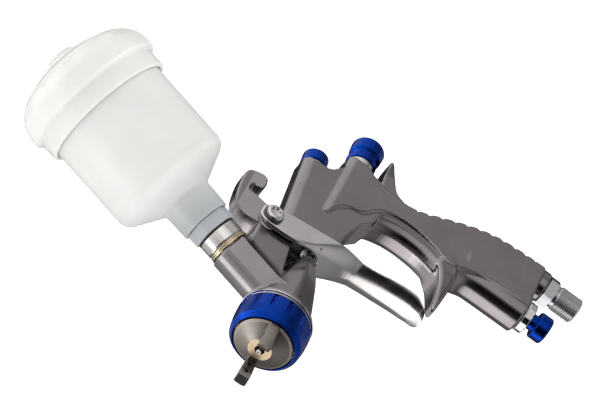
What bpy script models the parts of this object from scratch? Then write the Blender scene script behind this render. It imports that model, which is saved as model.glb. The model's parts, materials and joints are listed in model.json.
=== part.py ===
"""Gravity-feed HVLP spray gun with a side-set plastic cup, as an assembly of separate solids.

Design units are millimetres measured from the tip of the fluid nozzle: the spray axis is the X axis and sprays
towards -X, +Z is up, and Y = 0 is the middle plane of the gun. place() turns them into world metres, where the
origin is the centre of the air inlet's lower end.
"""
import math

import bmesh
import bpy
from mathutils import Vector

MM = 0.001
X_AXIS = Vector((1, 0, 0))
Y_AXIS = Vector((0, 1, 0))
Z_AXIS = Vector((0, 0, 1))
GAP = 0.3                        # clearance between neighbouring pieces

# Air inlet: 1/4 inch straight pipe thread, the standard size that fixes the scale of the gun.
INLET_X = 155.0
INLET_END_Z = -127.8
INLET_THREAD_R = 6.6
INLET_BORE_R = 4.4
INLET_HEX_FLATS = 14.0
HANDLE_END_Z = -103.0
INLET_BOSS_Z = -108.0
INLET_BOSS_R = 7.8

# Head, air cap and ring, all turned about the spray axis.
CAP_RIM_X = 6.0
CAP_R = 14.3
RING_FRONT_X = 7.0
RING_REAR_X = 22.4
RING_R = 18.0
HEAD_X = 25.0
HORN_TIP_X = -9.8
HORN_Y = 11.8
HORN_WIDTH = 5.2
HORN_ROLL = math.radians(-4.4)

# Fluid inlet and cup, turned about an axis that leans back from the spray axis.
CUP_FOOT_X = 34.0
CUP_LEAN = math.radians(19.3)
CUP_AXIS = Vector((math.sin(CUP_LEAN), 0, math.cos(CUP_LEAN)))
BOSS_R = 10.7
BOSS_TOP = 36.5
COLLAR_TOP = 45.7
CUP_NECK_R = 12.2
CUP_R = 30.4
CUP_WALL = 1.6
CUP_SHOULDER = 77.5
CUP_TOP = 139.5
LID_R = 36.3
LID_BOTTOM = 121.6
LID_INNER_R = 31.2

# Valve barrels.
FLUID_BARREL_R = 8.4
FLUID_BARREL_END_X = 141.6
BORE_R = 6.4
FAN_START = Vector((80.0, 0, 15.3))
FAN_TILT = math.radians(5.5)
FAN_AXIS = Vector((math.cos(FAN_TILT), 0, math.sin(FAN_TILT)))
FAN_BARREL_R = 7.2
FAN_BARREL_LENGTH = 43.8

# Handle and hook.
BODY_HALF = 9.2
HOOK_SEAT_Z = 40.8
HANDLE_HALF = 10.0
TUBE_X = 129.5
TUBE_BORE_R = 7.6

# Trigger.
PIVOT = Vector((68.8, 0, 26.4))
ARM_INNER = 9.6
ARM_OUTER = 12.0
STUD_R = 3.2
PAD_X = 73.0                     # rear face of the trigger's two pads, which push the sleeve's flange
NEEDLE_R = 1.2
SLEEVE_R = 4.0

COLOURS = {
    # name: (red, green, blue, alpha, metallic, roughness)
    "nickel": (0.42, 0.40, 0.41, 1.0, 1.0, 0.16),
    "satin": (0.62, 0.60, 0.57, 1.0, 1.0, 0.32),
    "chrome": (0.80, 0.80, 0.82, 1.0, 1.0, 0.08),
    "blue": (0.01, 0.09, 0.55, 1.0, 0.9, 0.30),
    "brass": (0.72, 0.58, 0.34, 1.0, 1.0, 0.25),
    "steel": (0.56, 0.56, 0.58, 1.0, 1.0, 0.25),
    "spring": (0.35, 0.35, 0.37, 1.0, 1.0, 0.30),
    "rubber": (0.02, 0.02, 0.02, 1.0, 0.0, 0.70),
    "milky": (0.80, 0.81, 0.80, 0.6, 0.0, 0.35),
    "grey": (0.42, 0.45, 0.50, 1.0, 0.0, 0.40),
}


def clear_scene():
    for thing in list(bpy.data.objects):
        bpy.data.objects.remove(thing, do_unlink=True)


def place(x, y, z):
    return Vector((x - INLET_X, y, z - INLET_END_Z)) * MM


def material(name):
    red, green, blue, alpha, metallic, roughness = COLOURS[name]
    made = bpy.data.materials.new(name)
    made.use_nodes = True
    shader = made.node_tree.nodes["Principled BSDF"]
    shader.inputs["Base Color"].default_value = (red, green, blue, 1.0)
    shader.inputs["Metallic"].default_value = metallic
    shader.inputs["Roughness"].default_value = roughness
    shader.inputs["Alpha"].default_value = alpha
    return made


def add_object(name, mesh_builder, slot):
    """Make an object from a filled bmesh; slot None makes a helper that only cuts or joins."""
    mesh = bpy.data.meshes.new(name)
    bmesh.ops.recalc_face_normals(mesh_builder, faces=mesh_builder.faces)
    mesh_builder.to_mesh(mesh)
    mesh_builder.free()
    made = bpy.data.objects.new(name, mesh)
    bpy.context.scene.collection.objects.link(made)
    if slot is None:
        made.hide_render = True
        made.display_type = "WIRE"
    else:
        mesh.materials.append(material(slot))
    return made


def turned(name, profile, slot=None, foot=(0, 0, 0), axis=X_AXIS, steps=24, closed=False):
    """Spin a profile of (distance along the axis, radius) points about an axis through foot."""
    build = bmesh.new()
    points = [build.verts.new((radius * MM, 0, along * MM)) for along, radius in profile]
    edges = [build.edges.new(pair) for pair in zip(points, points[1:])]
    if closed:
        edges.append(build.edges.new((points[-1], points[0])))
    bmesh.ops.spin(build, geom=points + edges, cent=(0, 0, 0), axis=(0, 0, 1), angle=2 * math.pi,
                   steps=steps, use_merge=True)
    bmesh.ops.remove_doubles(build, verts=build.verts, dist=0.001 * MM)
    build.normal_update()
    centres = [vert for vert in build.verts if vert.co.xy.length < 0.001 * MM]
    flat = [vert for vert in centres if all(abs(face.normal.z) > 0.9999 for face in vert.link_faces)]
    bmesh.ops.dissolve_verts(build, verts=flat)
    made = add_object(name, build, slot)
    made.data.shade_smooth()
    made.data.set_sharp_from_angle(angle=math.radians(30))
    made.location = place(*foot)
    made.rotation_mode = "QUATERNION"
    made.rotation_quaternion = Z_AXIS.rotation_difference(axis)
    return made


def ring(name, start, end, inner, outer, slot=None, **where):
    return turned(name, [(start, inner), (start, outer), (end, outer), (end, inner)], slot,
                  closed=True, **where)


def rod(name, start, end, radius, slot=None, **where):
    return turned(name, [(start, 0), (start, radius), (end, radius), (end, 0)], slot, **where)


def loft(name, rings, slot=None, origin=(0, 0, 0)):
    """Skin rings of (x, y, z) points, all with the same number of points, and cap both ends."""
    build = bmesh.new()
    base = Vector(origin)
    loops = [[build.verts.new((Vector(point) - base) * MM) for point in loop] for loop in rings]
    count = len(loops[0])
    for lower, upper in zip(loops, loops[1:]):
        for i in range(count):
            build.faces.new((lower[i], lower[(i + 1) % count], upper[(i + 1) % count], upper[i]))
    build.faces.new(loops[0])
    build.faces.new(loops[-1])
    made = add_object(name, build, slot)
    made.location = place(*origin)
    return made


def prism(name, outline, half, slot=None, middle=0.0, origin=(0, 0, 0)):
    """Extrude an (x, z) outline across Y, from middle - half to middle + half."""
    rings = [[(x, middle + side * half, z) for x, z in outline] for side in (-1, 1)]
    return loft(name, rings, slot, origin)


def rounded_section(low, high, half, corner, steps=4):
    """Points of a rounded rectangle from low to high, and from -half to half across it."""
    points = []
    middle = [(high - corner, half - corner), (low + corner, half - corner),
              (low + corner, corner - half), (high - corner, corner - half)]
    for quarter, (along, across) in enumerate(middle):
        for step in range(steps + 1):
            angle = math.pi / 2 * (quarter + step / steps)
            points.append((along + corner * math.cos(angle), across + corner * math.sin(angle)))
    return points


def column(name, stations, slot=None, origin=(0, 0, 0)):
    """Loft upright sections; a station is (z, front x, rear x, half width, corner)."""
    rings = []
    for z, front, rear, half, corner in stations:
        rings.append([(x, y, z) for x, y in rounded_section(front, rear, half, corner)])
    return loft(name, rings, slot, origin)


def spur(name, stations):
    """Loft sections along X; a station is (x, bottom z, top z, half width, corner)."""
    rings = []
    for x, bottom, top, half, corner in stations:
        rings.append([(x, y, z) for z, y in rounded_section(bottom, top, half, corner)])
    return loft(name, rings)


def hexagon(name, start, end, flats, slot=None, foot=(0, 0, 0), axis=X_AXIS):
    radius = flats / math.sqrt(3)
    return turned(name, [(start, 0), (start, radius), (end, radius), (end, 0)], slot,
                  foot=foot, axis=axis, steps=6)


def combine(base, operation, helpers):
    for helper in helpers:
        step = base.modifiers.new(helper.name, "BOOLEAN")
        step.operation = operation
        step.solver = "EXACT"
        step.object = helper


def join(base, *helpers):
    combine(base, "UNION", helpers)


def cut(base, *helpers):
    combine(base, "DIFFERENCE", helpers)


def along_x(x):
    """Where a piece that is turned about the spray axis has its own origin."""
    return (x, 0, 0)


CUP_FOOT = (CUP_FOOT_X, 0, 0)
CUP_PLACE = {"foot": CUP_FOOT, "axis": CUP_AXIS}
FAN_PLACE = {"foot": tuple(FAN_START), "axis": FAN_AXIS}
TUBE_PLACE = {"foot": (TUBE_X, 0, 0), "axis": Z_AXIS}
INLET_PLACE = {"foot": (INLET_X, 0, 0), "axis": Z_AXIS}


# Body casting ---------------------------------------------------------------------------------------------

def body_shapes():
    """The overlapping solids that make the casting, apart from the handle."""
    web = prism("body_web", [(38, 9.5), (61.8, 11.2), (82.8, 11.2), (82.8, -6.3), (93, -10.5), (106, -14),
                             (113, -24), (136, -30), (139, -20), (139.5, -8), (139.5, 5), (121, 9),
                             (121.5, 15), (117, 22), (79, 22), (60, 27.5), (46, 29)], BODY_HALF)
    head = turned("body_head", [(HEAD_X, 0), (HEAD_X, 17.4), (28, 17.2), (41, 12.8), (52, 10.2), (62, 6.6),
                                (64, 6.0), (64, 0)])
    boss = rod("body_boss", 2, BOSS_TOP, BOSS_R, **CUP_PLACE)
    fluid_barrel = rod("body_fluid_barrel", 94, FLUID_BARREL_END_X, FLUID_BARREL_R)
    fan_barrel = rod("body_fan_barrel", -4, FAN_BARREL_LENGTH, FAN_BARREL_R, **FAN_PLACE)
    lug = rod("body_lug", -9.3, 9.3, 5.6, foot=tuple(PIVOT), axis=Y_AXIS)
    hook = prism("body_hook", [(66, 24.5), (66.4, 31), (67.5, 36.3), (70, 41.4), (74, 44.0), (80, 45.8), (88, 46.6),
                               (94.4, 46.2), (97, 43.4), (97, 38.6), (95, 36.2), (88.1, 35.6), (88.1, 38.6),
                               (87.6, HOOK_SEAT_Z), (82.9, HOOK_SEAT_Z), (82.5, 39.6), (81.3, 36.4), (79.4, 33.2),
                               (78.6, 28), (79, 18)], 4.0)
    spur_rear = spur("body_spur", [(132, -24, -8.4, 8.6, 4), (141, -19.6, -10.6, 7, 3), (150, -17, -11, 5, 2.4),
                                   (158, -15.6, -11.8, 3.2, 1.7), (161.5, -14.4, -12.6, 1.6, 0.8)])
    fang = spur("body_fang", [(120, -66, -48, 9.6, 5), (113, -65.4, -51, 9, 5), (106, -64.4, -54, 7.4, 4),
                              (98, -63.8, -57.2, 4.8, 3), (92, -63.2, -60.4, 2.4, 1.3)])
    inlet_boss = rod("body_inlet_boss", INLET_BOSS_Z, HANDLE_END_Z + 8, INLET_BOSS_R, **INLET_PLACE)
    return web, head, boss, fluid_barrel, fan_barrel, lug, hook, spur_rear, fang, inlet_boss


def body_bores():
    """Everything drilled in the casting: fluid, air and valve passages."""
    return (
        turned("bore_nozzle", [(HEAD_X - 5, 0), (HEAD_X - 5, 6.9), (40, 6.9), (40, 3.6), (74, 3.6), (74, 0)]),
        turned("bore_inlet", [(1, 0), (1, 3.2), (16, 3.2), (16, 7.2), (BOSS_TOP + 5, 7.2), (BOSS_TOP + 5, 0)],
               steps=26, **CUP_PLACE),
        rod("bore_valve", 75, FLUID_BARREL_END_X + 5, BORE_R),
        rod("bore_fan", 6, FAN_BARREL_LENGTH + 5, 5.0, **FAN_PLACE),
        rod("bore_pivot", -16, 16, STUD_R + 0.3, foot=tuple(PIVOT), axis=Y_AXIS),
        turned("bore_tube", [(HANDLE_END_Z - 6, 0), (HANDLE_END_Z - 6, TUBE_BORE_R), (-72, TUBE_BORE_R), (-72, 3.4),
                             (0, 3.4), (0, 0)], steps=28, **TUBE_PLACE),
        rod("bore_inlet_nipple", INLET_BOSS_Z - 6, -92, 5.4, **INLET_PLACE),
        rod("bore_cross", -28, 1, 3.0, foot=(INLET_X, 0, -95.5), axis=X_AXIS, steps=18),
        rod("bore_fan_feed", -1, 18, 2.4, foot=(101, 0, 0), axis=Z_AXIS, steps=14),
    )


def make_body():
    body = column("gun_body", [
        (HANDLE_END_Z, 119.7, 161.6, HANDLE_HALF, 9.4), (-96, 119.5, 161.3, HANDLE_HALF, 9.4),
        (-81, 118.5, 160.0, HANDLE_HALF, 9.4), (-70, 116.0, 157.3, HANDLE_HALF, 9.4),
        (-60, 112.5, 152.2, HANDLE_HALF, 9.4), (-53, 113.0, 149.0, HANDLE_HALF, 9.4),
        (-44, 115.3, 144.3, HANDLE_HALF, 9.4), (-32, 115.8, 138.6, HANDLE_HALF, 9.4),
        (-21, 112.5, 137.4, HANDLE_HALF, 9.0), (-14.5, 107.0, 138.8, 9.7, 6.0),
        (-8, 98.0, 139.9, 9.4, 4.0)], "nickel")
    join(body, *body_shapes())
    cut(body, *body_bores())
    return body


# Head -----------------------------------------------------------------------------------------------------

def make_air_cap():
    """Dished cap with a brass-coloured centre face; its two horns carry the fan air jets."""
    cap = turned("air_cap", [(1.5, 1.9), (1.5, 5.8), (5.6, 13.0), (CAP_RIM_X, CAP_R - 0.3), (6.6, CAP_R),
                             (9.3, CAP_R), (9.3, 15.2), (11, 15.2), (11, 12.4), (7.4, 12.0), (3.4, 4.9),
                             (3.4, 1.9)], "satin", closed=True, steps=32)
    half = HORN_WIDTH / 2
    horns = []
    for side in (-1, 1):
        outline = [(5.0, 8.8), (8.6, 13.0), (8.6, 13.9), (HORN_TIP_X + 1.2, 13.4), (HORN_TIP_X, 12.4), (HORN_TIP_X + 3.2, 9.6),
                   (2.0, 8.6)]
        rings = []
        for edge in (-half, half):
            loop = []
            for x, reach in outline:
                y = side * reach
                loop.append((x, y * math.cos(HORN_ROLL) - edge * math.sin(HORN_ROLL),
                             y * math.sin(HORN_ROLL) + edge * math.cos(HORN_ROLL)))
            rings.append(loop)
        horns.append(loft("horn_near" if side < 0 else "horn_far", rings))
    join(cap, *horns)
    return cap


def make_head():
    make_air_cap()
    turned("air_cap_ring", [(RING_FRONT_X, 14.6), (RING_FRONT_X, 16.3), (8.4, 16.9), (15, 17.7),
                            (RING_REAR_X, RING_R), (RING_REAR_X, 15.6), (9.0, 15.6), (9.0, 14.6)],
           "blue", closed=True, steps=32)
    turned("air_distribution_ring", [(13, 12.6), (13, 15.2), (22.7, 15.2), (22.7, 18.0), (24.7, 18.0),
                                     (24.7, 12.6)], "chrome", closed=True, steps=32)
    turned("fluid_nozzle", [(0, 0.55), (0, 1.1), (1.2, 1.25), (3.7, 1.5), (6.6, 4.0), (8.2, 9.0), (10.6, 9.0),
                            (10.6, 6.4), (36, 6.4), (36, 2.6), (6, 2.6), (2, 0.9)], "brass", closed=True)
    ring("nozzle_gasket", 36.3, 37.8, 4.0, 6.5, "rubber")
    turned("fluid_needle", [(0.4, 0), (0.4, 0.35), (5, NEEDLE_R), (123.4, NEEDLE_R), (123.4, 3.3), (126.4, 3.3),
                            (126.4, NEEDLE_R), (133, NEEDLE_R), (133, 0)], "steel", steps=16)
    ring("needle_packing", 50, 56, NEEDLE_R + 0.1, 3.3, "rubber", steps=20)


def make_packing_nut():
    nut = hexagon("needle_packing_nut", 64.4, 69.4, 8.0, "brass")
    join(nut, rod("packing_nut_thread", 56.4, 65, 3.3, steps=20))
    cut(nut, rod("packing_nut_bore", 50, 75, NEEDLE_R + 0.25, steps=16))


# Valves ---------------------------------------------------------------------------------------------------

def make_air_valve():
    front = PAD_X + GAP
    ring("air_valve_gland", 81.6, 92, SLEEVE_R + 0.1, 6.1, "brass", steps=32)
    turned("air_valve_sleeve", [(front, 1.6), (front, 4.8), (front + 1.6, 4.8), (front + 1.6, SLEEVE_R),
                                (97, SLEEVE_R), (97, 5.6), (100, 5.6), (100, 2.6), (104, 2.6), (104, 1.6)],
           "steel", closed=True)
    ring("air_valve_seal", 94.6, 96.7, SLEEVE_R + 0.1, 5.6, "rubber")
    ring("air_valve_seat", 92.3, 94.3, SLEEVE_R + 0.5, 6.1, "brass")
    ring("fluid_knob_bushing", 121, FLUID_BARREL_END_X, 4.6, 6.1, "brass")
    ring("fluid_lock_ring", FLUID_BARREL_END_X + GAP, 147.6, 4.6, 7.3, "chrome")
    turned("fluid_knob", [(150.4, 0), (150.4, 3.7), (128, 3.7), (128, 4.3), (148, 4.3), (148, 7.6), (150.8, 7.8),
                          (152.6, 6.2), (154.2, 6.2), (155.8, 8.2), (161.6, 8.5), (163.2, 7.4), (163.2, 0)], "blue")


def coil(name, start, end, mean_radius, wire, turns, slot):
    """Helical spring as one closed tube with flat ends, wound about the spray axis."""
    build = bmesh.new()
    per_turn = 10
    sides = 5
    loops = []
    count = turns * per_turn
    for i in range(count + 1):
        angle = 2 * math.pi * i / per_turn
        along = start + wire + (end - start - 2 * wire) * i / count
        loop = []
        for k in range(sides):
            turn = 2 * math.pi * k / sides
            reach = mean_radius + wire * math.cos(turn)
            loop.append(build.verts.new(Vector((reach * math.cos(angle), reach * math.sin(angle),
                                                along + wire * math.sin(turn))) * MM))
        loops.append(loop)
    for lower, upper in zip(loops, loops[1:]):
        for k in range(sides):
            build.faces.new((lower[k], lower[(k + 1) % sides], upper[(k + 1) % sides], upper[k]))
    build.faces.new(loops[0])
    build.faces.new(loops[-1])
    made = add_object(name, build, slot)
    made.location = place(0, 0, 0)
    made.rotation_mode = "QUATERNION"
    made.rotation_quaternion = Z_AXIS.rotation_difference(X_AXIS)
    return made


def make_springs():
    coil("air_valve_spring", 100.4, 120.6, 4.4, 0.5, 5, "spring")
    coil("needle_spring", 126.8, 150.0, 2.4, 0.45, 7, "spring")


def make_fan_valve():
    end = FAN_BARREL_LENGTH
    ring("fan_valve_gland", end + GAP, end + 3.6, 3.1, 6.6, "chrome", **FAN_PLACE)
    turned("fan_valve_stem", [(12, 0), (16, 2.6), (18, 2.6), (18, 4.6), (22, 4.6), (22, 2.8), (end + 4.2, 2.8),
                              (end + 4.2, 0)], "steel", steps=20, **FAN_PLACE)
    turned("fan_knob", [(end + 4.6, 0), (end + 4.6, 3.1), (end + 4.0, 3.1), (end + 4.0, 6.5), (end + 10.6, 6.5),
                        (end + 11.8, 5.4), (end + 11.8, 0)], "blue", **FAN_PLACE)


# Fluid inlet and cup --------------------------------------------------------------------------------------

def make_inlet():
    turned("fluid_inlet_fitting", [(21, 3.4), (21, 6.9), (38.9, 6.9), (38.9, 9.4), (39.6, 9.9),
                                   (COLLAR_TOP, 9.9), (COLLAR_TOP, 6.4), (33, 6.4), (33, 3.4)], "chrome",
           closed=True, **CUP_PLACE)
    ring("inlet_ring_lower", BOSS_TOP + 0.3, BOSS_TOP + 1.1, 7.2, 10.1, "brass", **CUP_PLACE)
    ring("inlet_ring_upper", BOSS_TOP + 1.35, BOSS_TOP + 2.1, 7.2, 9.9, "brass", **CUP_PLACE)
    ring("cup_gasket", COLLAR_TOP + 0.2, COLLAR_TOP + 0.9, 6.4, 10.0, "rubber", **CUP_PLACE)


def make_cup_adapter():
    """Grey hexagon under the cup: its spigot screws into the inlet fitting, its collar holds the neck."""
    foot = COLLAR_TOP + 1.1
    adapter = hexagon("cup_adapter", foot, foot + 6.2, 20.4, "grey", foot=CUP_FOOT, axis=CUP_AXIS)
    join(adapter,
         rod("adapter_spigot", foot - 11, foot + 1, 6.0, **CUP_PLACE),
         rod("adapter_sleeve", foot + 5, foot + 17, 9.6, **CUP_PLACE))
    cut(adapter, rod("adapter_bore", foot - 15, foot + 22, 4.0, **CUP_PLACE))


def make_cup():
    neck_foot = COLLAR_TOP + 1.1 + 6.2 + GAP
    turned("cup", [(neck_foot, 9.9), (neck_foot, CUP_NECK_R), (68, CUP_NECK_R), (CUP_SHOULDER - 1.4, CUP_R - 1.8),
                   (CUP_SHOULDER, CUP_R - 0.5), (CUP_SHOULDER + 2, CUP_R), (CUP_TOP, CUP_R + 0.2),
                   (CUP_TOP, CUP_R - CUP_WALL), (CUP_SHOULDER + 2, CUP_R - CUP_WALL),
                   (CUP_SHOULDER + 0.6, CUP_R - CUP_WALL - 1), (70, 9.9)], "milky", closed=True, steps=32,
           **CUP_PLACE)
    turned("cup_strainer", [(85.2, 0), (85.2, 6.4), (64.8, 6.6), (64.8, 7.6), (86, 7.2), (86, 0)], "grey",
           steps=24, **CUP_PLACE)


def make_lid():
    turned("cup_lid", [(LID_BOTTOM, LID_INNER_R), (LID_BOTTOM, 34.2), (123, 34.8), (132.6, 35.4), (133.4, LID_R),
                       (141, 35.2), (145.6, 32.4), (149, 28), (151.8, 20.6), (153.4, 11.4), (155.4, 10.2),
                       (155.4, 4.0), (151.6, 4.0), (150.6, 11), (148.6, 20), (145.6, 27), (142.4, LID_INNER_R)],
           "milky", closed=True, steps=32, **CUP_PLACE)
    turned("lid_vent_cap", [(152.3, 0), (152.3, 3.6), (155.7, 3.6), (155.7, 7.6), (157.2, 7.2), (158.2, 5.6),
                            (158.2, 0)], "milky", steps=28, **CUP_PLACE)


# Handle end -----------------------------------------------------------------------------------------------

def make_air_inlet():
    nipple = hexagon("air_inlet_nipple", -113.4, INLET_BOSS_Z - GAP, INLET_HEX_FLATS, "chrome",
                     foot=(INLET_X, 0, 0), axis=Z_AXIS)
    join(nipple,
         turned("nipple_thread", [(INLET_END_Z, 0), (INLET_END_Z, INLET_THREAD_R - 0.7),
                                  (INLET_END_Z + 0.8, INLET_THREAD_R), (-115.6, INLET_THREAD_R), (-114.6, 5.8),
                                  (-113, 5.8), (-113, 0)], **INLET_PLACE),
         rod("nipple_stub", -110, -93, 5.1, **INLET_PLACE))
    cut(nipple, rod("nipple_bore", -132, -88, INLET_BORE_R - 0.6, **INLET_PLACE))


def make_air_adjust():
    turned("air_adjust_body", [(-108.0, 2.9), (-108.0, 7.4), (-107.4, 8.2), (-104.0, 8.2), (HANDLE_END_Z - GAP, 7.8),
                               (HANDLE_END_Z - GAP, 7.3), (-92, 7.3), (-92, 2.9)], "chrome", closed=True,
           **TUBE_PLACE)
    turned("air_adjust_stem", [(-112.0, 0), (-112.0, 2.6), (-90.5, 2.6), (-90.5, 5.6), (-86, 5.6), (-80, 2.2),
                               (-80, 0)], "steel", steps=24, **TUBE_PLACE)
    turned("air_adjust_knob", [(-118.4, 0), (-118.4, 6.2), (-117.6, 7.0), (-112.0, 7.0), (-111.4, 6.6),
                               (-111.4, 4.2), (-108.4, 4.2), (-108.4, 2.9), (-112.4, 2.9), (-112.4, 0)], "blue",
           **TUBE_PLACE)


# Trigger --------------------------------------------------------------------------------------------------

def make_trigger():
    """Forked lever: two arms hang on the pivot stud and run down into one finger blade."""
    pivot = tuple(PIVOT)
    blade = column("trigger", [
        (-60.4, 79.0, 81.4, 6.0, 1.1), (-58.4, 78.9, 83.2, 8.4, 1.8), (-54, 79.9, 85.0, 9.4, 2.2),
        (-46, 80.8, 85.8, 9.8, 2.2), (-36, 80.7, 85.4, 10.2, 2.2), (-26, 79.6, 84.4, 10.8, 2.2),
        (-17, 76.9, 82.8, 11.6, 2.2), (-10, 73.4, 81.4, ARM_OUTER, 2.4), (-6, 71.4, 80.6, ARM_OUTER, 2.0)],
        "satin", origin=pivot)
    arms = []
    pads = []
    outline = [(62.4, 27.4), (63.0, 20), (64.4, 9), (66.6, 1), (70.4, -4), (73.4, -9), (80.8, -9), (79.6, 2),
               (78.2, 12), (76.0, 22), (74.4, 29), (71.4, 32.2), (67.6, 32.8), (64.2, 31)]
    middle = (ARM_INNER + ARM_OUTER) / 2
    for side in (-1, 1):
        arms.append(prism("arm_near" if side < 0 else "arm_far", outline, (ARM_OUTER - ARM_INNER) / 2,
                          middle=side * middle))
        pads.append(prism("pad_near" if side < 0 else "pad_far",
                          [(PAD_X - 2.8, -1.5), (PAD_X - 0.6, -1.5), (PAD_X, 0), (PAD_X - 0.6, 1.5),
                           (PAD_X - 2.8, 1.5)], 4.2, middle=side * 6.8))
    join(blade, *arms)
    cut(blade, rod("trigger_pivot_hole", -16, 16, STUD_R + 0.3, foot=pivot, axis=Y_AXIS),
        rod("trigger_fork", 60, 92, 9.3, foot=(0, 0, -5.5)),
        prism("trigger_hollow", [(73.0, 2), (75.6, -9), (80.2, -17), (82.6, -26), (83.4, -36), (83.8, -46),
                                 (84.0, -53), (90, -53), (90, 2)], 8.0),
        prism("trigger_throat", [(72.4, 3), (75.0, -9), (79.4, -17), (82.0, -25), (91, -25), (91, 3)], 9.65))
    join(blade, *pads)


def make_pivot():
    pivot = tuple(PIVOT)
    where = {"foot": pivot, "axis": Y_AXIS}
    turned("trigger_pivot_stud", [(-5, 0), (-5, 1.7), (-12.2, 1.7), (-12.2, STUD_R), (12.9, STUD_R), (12.9, 4.4),
                                  (14.6, 4.4), (15.1, 3.8), (15.1, 0)], "steel", steps=28, **where)
    ring("trigger_washer_near", -12.9, -12.3, STUD_R + 0.3, 5.0, "spring", steps=28, **where)
    ring("trigger_washer_far", 12.1 + 0.1, 12.7, STUD_R + 0.3, 5.0, "spring", steps=28, **where)
    screw = turned("trigger_screw", [(-15.4, 0), (-15.4, 3.6), (-14.7, 4.4), (-13.2, 4.4), (-13.2, 1.4), (-6, 1.4),
                                     (-6, 0)], "chrome", steps=28, **where)
    cut(screw, prism("screw_slot", [(60, 25.8), (78, 25.8), (78, 27.0), (60, 27.0)], 1.0, middle=-15.4))


def main():
    clear_scene()
    make_body()
    make_head()
    make_packing_nut()
    make_air_valve()
    make_springs()
    make_fan_valve()
    make_inlet()
    make_cup_adapter()
    make_cup()
    make_lid()
    make_air_inlet()
    make_air_adjust()
    make_trigger()
    make_pivot()


main()
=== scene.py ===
"""Looks of the HVLP spray gun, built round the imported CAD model.

Lengths in the modelling code are millimetres measured from the tip of the fluid nozzle: X runs back along
the spray axis, +Z is up and Y = 0 is the middle plane of the gun. to_frame() turns them into the
frame's metres.
"""
import json
import math

import bmesh
import bpy
import numpy as np
from mathutils import Matrix, Quaternion, Vector


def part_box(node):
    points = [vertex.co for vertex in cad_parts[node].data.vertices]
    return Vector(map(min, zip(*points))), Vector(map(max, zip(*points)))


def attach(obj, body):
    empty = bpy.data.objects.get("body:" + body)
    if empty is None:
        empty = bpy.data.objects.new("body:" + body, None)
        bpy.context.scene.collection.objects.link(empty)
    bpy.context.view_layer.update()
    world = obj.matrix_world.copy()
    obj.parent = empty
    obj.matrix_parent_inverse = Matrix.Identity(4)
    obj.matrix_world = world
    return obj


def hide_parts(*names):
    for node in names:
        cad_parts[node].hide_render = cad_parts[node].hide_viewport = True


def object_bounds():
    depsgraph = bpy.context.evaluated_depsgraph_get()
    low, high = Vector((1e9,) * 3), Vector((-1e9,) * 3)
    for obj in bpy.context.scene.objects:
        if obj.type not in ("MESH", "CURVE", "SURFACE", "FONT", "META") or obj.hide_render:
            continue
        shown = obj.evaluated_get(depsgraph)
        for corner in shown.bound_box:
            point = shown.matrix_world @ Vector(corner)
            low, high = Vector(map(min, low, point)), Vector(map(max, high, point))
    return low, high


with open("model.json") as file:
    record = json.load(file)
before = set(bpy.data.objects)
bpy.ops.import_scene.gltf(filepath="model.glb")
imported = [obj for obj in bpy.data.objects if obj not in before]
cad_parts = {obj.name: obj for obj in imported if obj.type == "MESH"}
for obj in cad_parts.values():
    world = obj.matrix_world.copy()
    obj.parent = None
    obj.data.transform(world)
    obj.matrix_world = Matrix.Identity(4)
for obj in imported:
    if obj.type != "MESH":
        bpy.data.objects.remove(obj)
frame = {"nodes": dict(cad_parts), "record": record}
CAD_BOX = [list(corner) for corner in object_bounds()]

MM = 0.001
NOZZLE_LOW, NOZZLE_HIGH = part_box("fluid_nozzle")
TIP = Vector((NOZZLE_LOW.x, 0, (NOZZLE_LOW.z + NOZZLE_HIGH.z) / 2))

# Driving sizes, as in the CAD.
CUP_FOOT = (34.0, 0, 0)
CUP_LEAN = math.radians(19.3)
CUP_AXIS = (math.sin(CUP_LEAN), 0, math.cos(CUP_LEAN))
FAN_FOOT = (80.0, 0, 15.3)
FAN_TILT = math.radians(5.5)
FAN_AXIS = (math.cos(FAN_TILT), 0, math.sin(FAN_TILT))
TUBE_X = 129.5
INLET_X = 155.0
HANDLE_END = -103.0
PIVOT = (68.8, 0, 26.4)


def to_frame(points):
    return np.asarray(points, float) * MM + np.array(TIP)


# Materials ------------------------------------------------------------------------------------------------

def new_material(name):
    made = bpy.data.materials.new(name)
    made.use_nodes = True
    return made, made.node_tree, made.node_tree.nodes["Principled BSDF"]


def noise(tree, scale, detail=3.0, stretch=(1, 1, 1), roughness=0.5):
    """Noise in the object's own space; scale is in features per metre."""
    place = tree.nodes.new("ShaderNodeTexCoord")
    mapping = tree.nodes.new("ShaderNodeMapping")
    mapping.inputs["Scale"].default_value = stretch
    texture = tree.nodes.new("ShaderNodeTexNoise")
    texture.inputs["Scale"].default_value = scale
    texture.inputs["Detail"].default_value = detail
    texture.inputs["Roughness"].default_value = roughness
    tree.links.new(place.outputs["Object"], mapping.inputs["Vector"])
    tree.links.new(mapping.outputs["Vector"], texture.inputs["Vector"])
    return texture.outputs["Fac"]


def ramp(tree, value, low, high, start=0.35, end=0.65):
    """Map a noise value onto a colour or a grey between low and high."""
    def colour(stop):
        return (*stop, 1) if isinstance(stop, tuple) else (stop, stop, stop, 1)
    node = tree.nodes.new("ShaderNodeValToRGB")
    node.color_ramp.elements[0].position = start
    node.color_ramp.elements[0].color = colour(low)
    node.color_ramp.elements[1].position = end
    node.color_ramp.elements[1].color = colour(high)
    tree.links.new(value, node.inputs["Fac"])
    return node.outputs["Color"]


def bump(tree, shader, height, strength, distance):
    node = tree.nodes.new("ShaderNodeBump")
    node.inputs["Strength"].default_value = strength
    node.inputs["Distance"].default_value = distance
    tree.links.new(height, node.inputs["Height"])
    tree.links.new(node.outputs["Normal"], shader.inputs["Normal"])


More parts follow.
